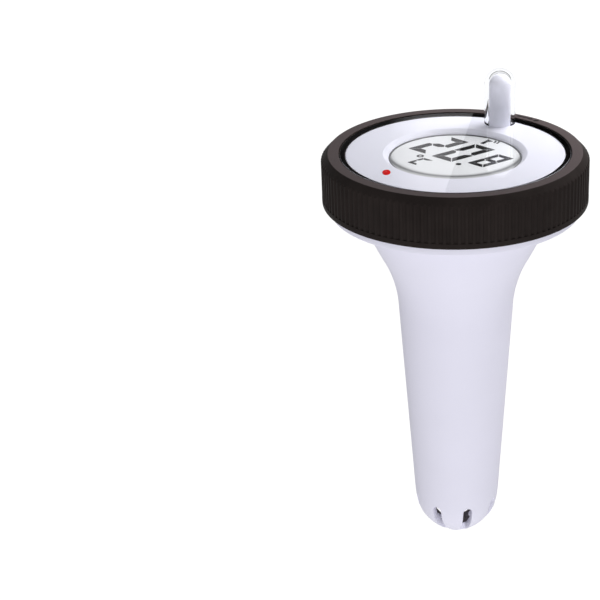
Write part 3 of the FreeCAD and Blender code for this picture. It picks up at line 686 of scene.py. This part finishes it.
def red_light():
    """Low domed oval lens."""
    outline = oval(LED_HALF_X, LED_HALF_Y, 48)
    crown = ((1.0, -0.02), (0.97, 0.03), (0.85, 0.08), (0.6, 0.11), (0.3, 0.12))
    levels = [(1.0, LED_LOW)] + [(k, DISC_TOP + z) for k, z in crown]
    verts = [(LED_X + x * k, LED_Y + y * k, z) for k, z in levels for x, y in outline]
    n = len(outline)
    faces = []
    for r in range(len(levels) - 1):
        for i in range(n):
            j = (i + 1) % n
            faces.append([r * n + i, r * n + j, (r + 1) * n + j, (r + 1) * n + i])
    faces.append(list(range(n))[::-1])
    faces.append([(len(levels) - 1) * n + i for i in range(n)])
    settle(piece("red_light", verts, faces, LED, "float", ("status_led",)), 60)


bezel_disc()
window_edge()
white_rod()
red_light()


# ---------------------------------------------------------------- clear cover with the finger

PLATE_UNDER = 20.6
PLATE_TOP = 22.2
WALL_IN = 41.3
WALL_LOW = 17.2
RIM_R = 44.9
RIM_TOP = 19.1
STEP_R = 42.9
FINGER_R = 6.0
FINGER_BORE = 4.5
FINGER_CENTRE = 37.9
BORE_CENTRE = 37.6
FINGER_ROWS = (26, 30, 34)


def rounded_post(radius, low, centre_z, steps):
    """Mesh of an upright post about the rod's axis with a half round end."""
    profile = [(0.0, low), (radius, low)] + [(radius, z) for z in FINGER_ROWS]
    profile += arc(0, centre_z, radius, 0, 90, steps)
    return lathe(profile, 96, (ROD_X, ROD_Y))


def clear_lid():
    """Plate and wall of the cover, with the hollow finger joined on and bored out."""
    plate = [(0.0, PLATE_UNDER), (41.0, PLATE_UNDER), (WALL_IN, 20.3), (WALL_IN, WALL_LOW)]
    plate += [(RIM_R, WALL_LOW), (RIM_R, RIM_TOP), (STEP_R, RIM_TOP), (STEP_R, 21.9)]
    plate += arc(42.6, 21.9, 0.3, 0, 90, 4)[1:]
    plate += [(0.0, PLATE_TOP)]
    verts, faces = lathe(plate, 256)
    lid = piece("clear_lid", verts, faces, CLEAR, "lid", ("clear_cover",))
    finger = mesh_object("finger", *rounded_post(FINGER_R, 21.0, FINGER_CENTRE, 16))
    bore = mesh_object("bore", *rounded_post(FINGER_BORE, 19.0, BORE_CENTRE, 14))
    for tool, operation in ((finger, "UNION"), (bore, "DIFFERENCE")):
        step = lid.modifiers.new(operation, "BOOLEAN")
        step.operation = operation
        step.object = tool
        step.solver = "EXACT"
        freeze(lid)
        bpy.data.objects.remove(tool)
    lid.data.materials.clear()
    lid.data.materials.append(CLEAR)
    shade(lid, 30)


clear_lid()


# ---------------------------------------------------------------- studio, in metres

STAGE_HALF = 6.0
STAGE_FLOOR = -0.30
SCREEN_HALF = 3.0
BACKDROP_Y = 0.9
BACKDROP_TOP = 0.30
CARD_Y = 1.5
CARD_HALF = 1.5
CARD_LOW, CARD_HIGH = 0.48, 0.70
CARD_SPLIT_LOW, CARD_SPLIT_HIGH = 0.0384, -0.0373
CANOPY_TOP = 2.6
STAGE_GREY = 0.12
WORLD_STRENGTH = 0.415


def area(name, location, target, size, power):
    """Square soft lamp, which the object doesn't mirror and which isn't seen through the clear cover."""
    lamp = bpy.data.lights.new(name, "AREA")
    lamp.shape = "RECTANGLE"
    lamp.size = size
    lamp.size_y = size
    lamp.energy = power
    obj = bpy.data.objects.new(name, lamp)
    obj.visible_glossy = False
    obj.visible_transmission = False
    scene.collection.objects.link(obj)
    obj.location = location
    obj.rotation_euler = (Vector(target) - Vector(location)).to_track_quat("-Z", "Y").to_euler()


def glow(name, strength, grey, color=(1, 1, 1), dimmer=0.0):
    """Matt stage surface with some light of its own, dimmer where it lights the object than where it is
    seen."""
    mat = material(name, (grey, grey, grey), 0.9, specular=0.05, tone=0.01, blotch=3)
    tree = mat.node_tree
    bsdf = tree.nodes["Principled BSDF"]
    bsdf.inputs["Emission Color"].default_value = (*color, 1)
    bsdf.inputs["Emission Strength"].default_value = strength
    if dimmer:
        path = tree.nodes.new("ShaderNodeLightPath")
        looked_at = tree.nodes.new("ShaderNodeMath")
        looked_at.operation = "MAXIMUM"
        tree.links.new(path.outputs["Is Camera Ray"], looked_at.inputs[0])
        tree.links.new(path.outputs["Is Transmission Ray"], looked_at.inputs[1])
        power = tree.nodes.new("ShaderNodeMapRange")
        power.inputs["To Min"].default_value = strength - dimmer
        power.inputs["To Max"].default_value = strength
        tree.links.new(looked_at.outputs["Value"], power.inputs["Value"])
        tree.links.new(power.outputs["Result"], bsdf.inputs["Emission Strength"])
    return mat


def fade_across(mat, start, end, low, high):
    """Let a stage surface's own light grow along X."""
    tree = mat.node_tree
    place = tree.nodes.new("ShaderNodeTexCoord")
    across = tree.nodes.new("ShaderNodeSeparateXYZ")
    fade = tree.nodes.new("ShaderNodeMapRange")
    fade.inputs["From Min"].default_value = start
    fade.inputs["From Max"].default_value = end
    fade.inputs["To Min"].default_value = low
    fade.inputs["To Max"].default_value = high
    tree.links.new(place.outputs["Object"], across.inputs["Vector"])
    tree.links.new(across.outputs["X"], fade.inputs["Value"])
    tree.links.new(fade.outputs["Result"], tree.nodes["Principled BSDF"].inputs["Emission Strength"])


def card(name, corners, mat):
    """Flat stage panel from its corners."""
    mesh = bpy.data.meshes.new(name)
    mesh.from_pydata(corners, [], [list(range(len(corners)))])
    obj = bpy.data.objects.new(name, mesh)
    scene.collection.objects.link(obj)
    obj.data.materials.append(mat)
    return obj


def screen(name, y, low, high, strength):
    """Upright white screen that the camera sees, also through the clear cover, and that lights nothing."""
    left, right = -SCREEN_HALF, SCREEN_HALF
    corners = [(left, y, low), (right, y, low), (right, y, high), (left, y, high)]
    obj = card(name, corners, glow(name + "_white", strength, STAGE_GREY))
    obj.visible_glossy = False
    obj.visible_diffuse = False


square = ((-1, -1), (1, -1), (1, 1), (-1, 1))
card("floor", [(x * STAGE_HALF, y * STAGE_HALF, STAGE_FLOOR) for x, y in square],
     glow("floor_white", 1.0, STAGE_GREY, dimmer=0.33))
screen("backdrop", BACKDROP_Y, STAGE_FLOOR, BACKDROP_TOP, 1.0)
screen("canopy", CARD_Y, CARD_HIGH, CANOPY_TOP, 0.8)

# The cover mirrors these two cards; their slanted common edge is the line across the display.
split_low = (CARD_SPLIT_LOW, CARD_Y, CARD_LOW)
split_high = (CARD_SPLIT_HIGH, CARD_Y, CARD_HIGH)
card("dark_card", [split_low, (CARD_HALF, CARD_Y, CARD_LOW), (CARD_HALF, CARD_Y, CARD_HIGH), split_high],
     glow("card_dark", 0.0, 0.012))
PALE = glow("card_pale", 0.26, 0.03, color=(1, 0.98, 1))
fade_across(PALE, -0.085, -0.045, 0.04, 0.75)
card("pale_card", [(-CARD_HALF, CARD_Y, CARD_LOW), split_low, split_high, (-CARD_HALF, CARD_Y, CARD_HIGH)],
     PALE)


def white_world():
    """White where the camera sees it, softer where it lights the object."""
    world = bpy.data.worlds.new("studio")
    scene.world = world
    world.use_nodes = True
    tree = world.node_tree
    back = tree.nodes["Background"]
    back.inputs["Color"].default_value = (1, 1, 1, 1)
    back.inputs["Strength"].default_value = WORLD_STRENGTH
    seen = tree.nodes.new("ShaderNodeBackground")
    seen.inputs["Color"].default_value = (1, 1, 1, 1)
    seen.inputs["Strength"].default_value = 1.0
    path = tree.nodes.new("ShaderNodeLightPath")
    mix = tree.nodes.new("ShaderNodeMixShader")
    tree.links.new(path.outputs["Is Camera Ray"], mix.inputs["Fac"])
    tree.links.new(back.outputs["Background"], mix.inputs[1])
    tree.links.new(seen.outputs["Background"], mix.inputs[2])
    tree.links.new(mix.outputs["Shader"], tree.nodes["World Output"].inputs["Surface"])


white_world()
area("key", location=(0.10, 0.10, 0.15), target=(0, 0, 0), size=0.16, power=0.62)
area("front", location=(0.10, -1.15, -0.35), target=(0, 0, -0.1), size=0.5, power=12.6)

scene.view_settings.view_transform = "Standard"
scene.view_settings.look = "None"

CAMERA_AT = (0, -0.610, 0.2469)
CAMERA_DOWN = 25.12
CAMERA_ROLL = -0.258
CAMERA_LENS = 104.58
CAMERA_SHIFT = -0.25985

camera_data = bpy.data.cameras.new("camera")
camera_data.sensor_width = 36
camera_data.lens = CAMERA_LENS
camera_data.shift_x = CAMERA_SHIFT
camera_data.clip_start = 0.01
camera = bpy.data.objects.new("camera", camera_data)
scene.collection.objects.link(camera)
camera.matrix_world = (
    Matrix.Translation(CAMERA_AT)
    @ Matrix.Rotation(math.radians(90 - CAMERA_DOWN), 4, "X")
    @ Matrix.Rotation(math.radians(CAMERA_ROLL), 4, "Z")
)
scene.camera = camera
